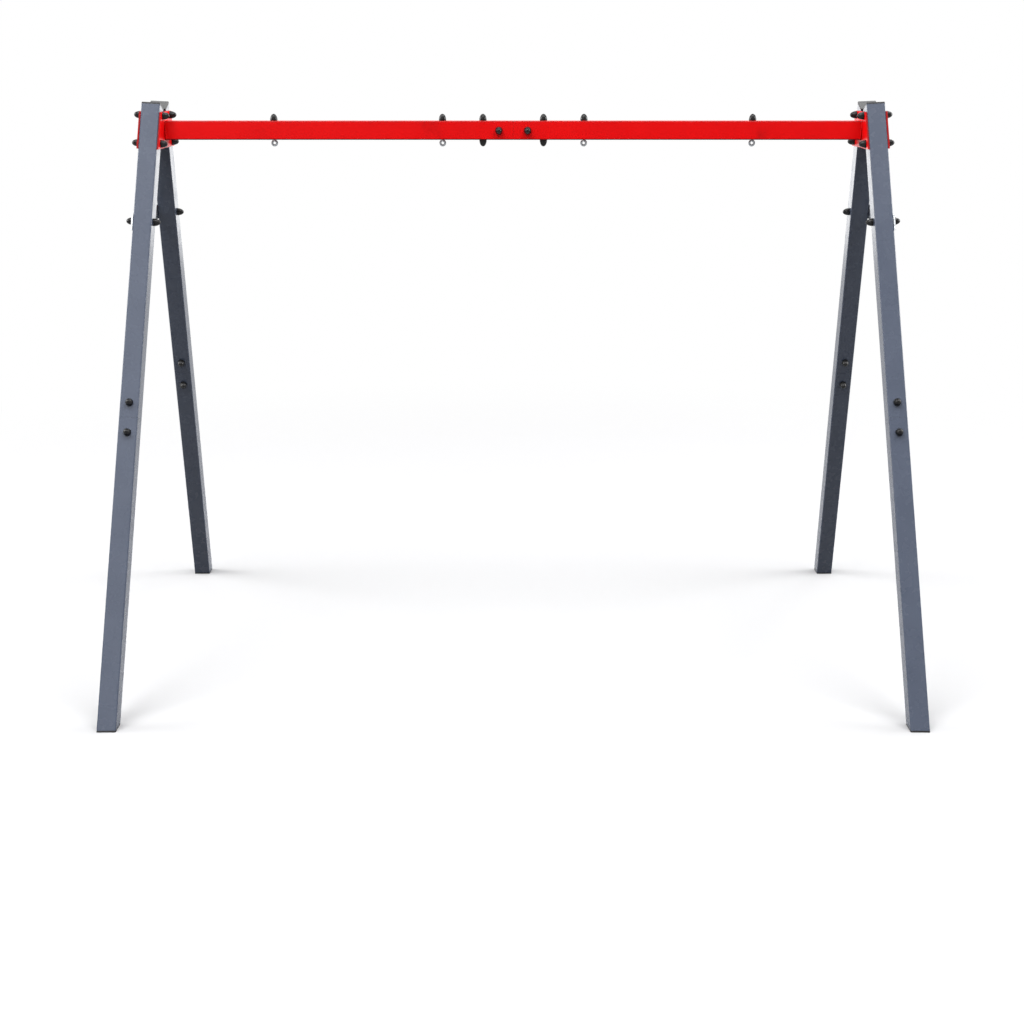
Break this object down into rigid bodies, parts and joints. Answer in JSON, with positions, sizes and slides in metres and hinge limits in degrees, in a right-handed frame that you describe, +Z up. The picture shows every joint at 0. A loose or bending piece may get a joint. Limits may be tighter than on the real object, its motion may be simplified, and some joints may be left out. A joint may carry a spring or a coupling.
{
  "type": "swing frame",
  "caption": "Double swing frame: red square steel beam with hanging eyes between two anthracite A-frames of square steel tube, bolted with black dome caps.",
  "frame": {"origin": "on the ground, midway between the four feet, under the middle of the beam", "axes": "+Z up, +X to the right along the beam, +Y to the rear of the frame"},
  "size_m": [2.5754, 1.6778, 1.8715],
  "materials": {
    "red_paint": "glossy red powder coat",
    "grey_paint": "glossy anthracite powder coat",
    "zinc": "zinc plated",
    "plain_steel": "plated steel",
    "black_plastic": "satin black",
    "bolt_black": "glossy black caps"
  },
  "bodies": {
    "root": {"beam_splice_sleeve": "plain_steel", "beam_half_left": "red_paint", "beam_upright_bolt_left": "bolt_black", "beam_level_bolt_left": "bolt_black", "left_bracket_inner_plate": "red_paint", "left_bracket_outer_plate": "red_paint", "left_tie_plate": "zinc", "eye_bolt_left_outer": "plain_steel", "eye_bolt_left_inner": "plain_steel", "tie_bolt_left_front": "bolt_black", "bracket_bolt_left_front_upper": "bolt_black", "leg_splice_bolt_left_front_upper": "bolt_black", "front_left_leg_upper": "grey_paint", "bracket_bolt_left_front_lower": "bolt_black", "leg_splice_bolt_left_front_lower": "bolt_black", "front_left_leg_lower": "grey_paint", "front_left_leg_sleeve": "plain_steel", "front_left_leg_top_cover": "black_plastic", "front_left_leg_foot_cover": "black_plastic", "tie_bolt_left_rear": "bolt_black", "bracket_bolt_left_rear_upper": "bolt_black", "leg_splice_bolt_left_rear_upper": "bolt_black", "rear_left_leg_upper": "grey_paint", "bracket_bolt_left_rear_lower": "bolt_black", "leg_splice_bolt_left_rear_lower": "bolt_black", "rear_left_leg_lower": "grey_paint", "rear_left_leg_sleeve": "plain_steel", "rear_left_leg_top_cover": "black_plastic", "rear_left_leg_foot_cover": "black_plastic", "beam_half_right": "red_paint", "beam_upright_bolt_right": "bolt_black", "beam_level_bolt_right": "bolt_black", "right_bracket_inner_plate": "red_paint", "right_bracket_outer_plate": "red_paint", "right_tie_plate": "zinc", "eye_bolt_right_outer": "plain_steel", "eye_bolt_right_inner": "plain_steel", "tie_bolt_right_front": "bolt_black", "bracket_bolt_right_front_upper": "bolt_black", "leg_splice_bolt_right_front_upper": "bolt_black", "front_right_leg_upper": "grey_paint", "bracket_bolt_right_front_lower": "bolt_black", "leg_splice_bolt_right_front_lower": "bolt_black", "front_right_leg_lower": "grey_paint", "front_right_leg_sleeve": "plain_steel", "front_right_leg_top_cover": "black_plastic", "front_right_leg_foot_cover": "black_plastic", "tie_bolt_right_rear": "bolt_black", "bracket_bolt_right_rear_upper": "bolt_black", "leg_splice_bolt_right_rear_upper": "bolt_black", "rear_right_leg_upper": "grey_paint", "bracket_bolt_right_rear_lower": "bolt_black", "leg_splice_bolt_right_rear_lower": "bolt_black", "rear_right_leg_lower": "grey_paint", "rear_right_leg_sleeve": "plain_steel", "rear_right_leg_top_cover": "black_plastic", "rear_right_leg_foot_cover": "black_plastic"}
  },
  "joints": []
}
